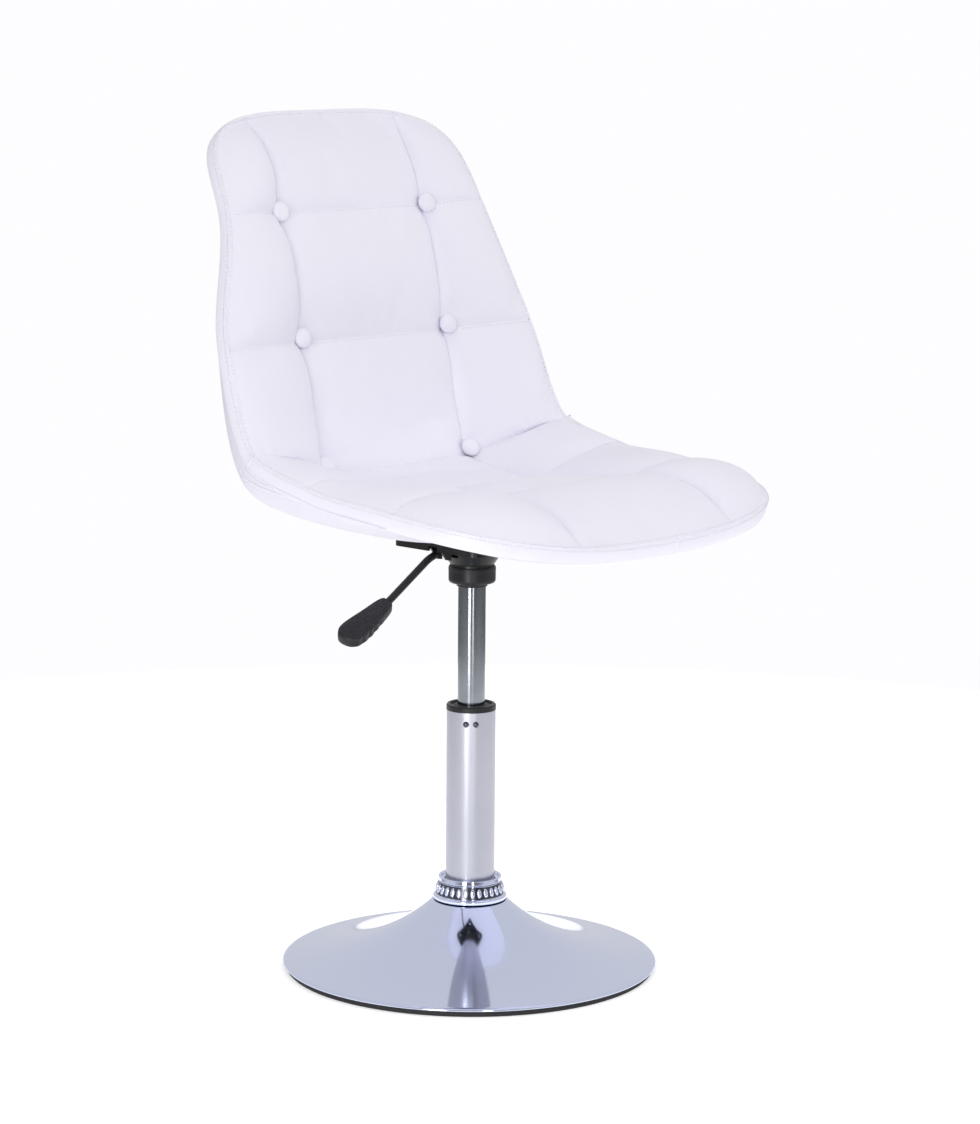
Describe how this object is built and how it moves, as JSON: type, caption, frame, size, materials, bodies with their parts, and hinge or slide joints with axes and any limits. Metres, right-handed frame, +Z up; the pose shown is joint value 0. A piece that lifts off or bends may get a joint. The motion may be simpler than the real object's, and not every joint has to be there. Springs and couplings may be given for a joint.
{
  "type": "drafting chair",
  "caption": "Swivel chair with a one-piece quilted white leatherette shell on a gas-lift column, side release lever and chrome trumpet base.",
  "frame": {"origin": "centre of the floor circle under the base's rubber ring", "axes": "+Z up along the column; the sitter faces -Y; +X is the sitter's left; the release lever is on the -X side"},
  "size_m": [0.47, 0.4938, 0.868],
  "materials": {
    "polished_chrome": "polished",
    "tube_chrome": "satin",
    "satin_steel": "satin",
    "black_plastic": "satin",
    "black_rubber": "matte",
    "black_steel": "satin",
    "iron_weight": "matte",
    "plywood": "matte",
    "white_leather": "satin",
    "cord": "matte"
  },
  "bodies": {
    "base": {"base_trumpet": "polished_chrome", "base_rubber_ring": "black_rubber", "base_weight_plate": "iron_weight", "base_socket": "black_steel", "socket_bolts": "satin_steel", "collar_ring": "polished_chrome", "outer_tube": "tube_chrome", "tube_floor_plate": "satin_steel", "tube_rivets": "tube_chrome", "guide_bush": "black_plastic", "tube_cap_ring": "black_plastic", "lower_race": "satin_steel"},
    "ball_cage": {"bearing_balls": "satin_steel", "bearing_cage": "black_plastic"},
    "spindle": {"upper_race": "satin_steel", "bump_stop": "black_rubber", "piston_rod": "satin_steel", "rod_clip": "satin_steel", "piston": "satin_steel"},
    "seat": {"back_band": "white_leather", "back_cushion": "white_leather", "button_anchors": "satin_steel", "button_cords": "cord", "cylinder_cone": "satin_steel", "cylinder_gland": "black_plastic", "dust_cup": "black_plastic", "gas_cylinder": "satin_steel", "inner_shell": "plywood", "lever_bracket": "black_steel", "lever_pivot_pin": "satin_steel", "plate_bolts": "satin_steel", "plate_spacers": "satin_steel", "plate_washers": "satin_steel", "rear_cover": "white_leather", "seat_band": "white_leather", "seat_cushion": "white_leather", "seat_plate": "black_steel", "t_nuts": "satin_steel", "taper_socket": "black_steel", "tuft_buttons": "white_leather", "under_cover": "white_leather"},
    "lever": {"lever_rod": "black_steel", "lever_grip": "black_plastic"},
    "release_pin": {"release_pin": "satin_steel"}
  },
  "joints": [
    {"name": "seat_swivel", "type": "hinge", "parent": "base", "child": "spindle", "pos_m": [0, 0, 0.02], "axis": [0, 0, 1], "continuous": true},
    {"name": "cage_turn", "type": "hinge", "parent": "base", "child": "ball_cage", "pos_m": [0, 0, 0.02], "axis": [0, 0, 1], "continuous": true},
    {"name": "seat_height", "type": "slide", "parent": "spindle", "child": "seat", "axis": [0, 0, 1], "range_m": [-0.118, 0]},
    {"name": "lever_lift", "type": "hinge", "parent": "seat", "child": "lever", "pos_m": [-0.044, 0, 0.442], "axis": [0, 1, 0], "range_deg": [0, 6], "stiffness_Nm_per_rad": 3, "springref_deg": -8.59},
    {"name": "pin_travel", "type": "slide", "parent": "seat", "child": "release_pin", "axis": [0, 0, -1], "range_m": [0, 0.005]}
  ],
  "couplings": [
    {"joint": "cage_turn", "follows": "seat_swivel", "ratio": 0.5},
    {"joint": "pin_travel", "follows": "lever_lift", "m_per_rad": 0.0465}
  ]
}
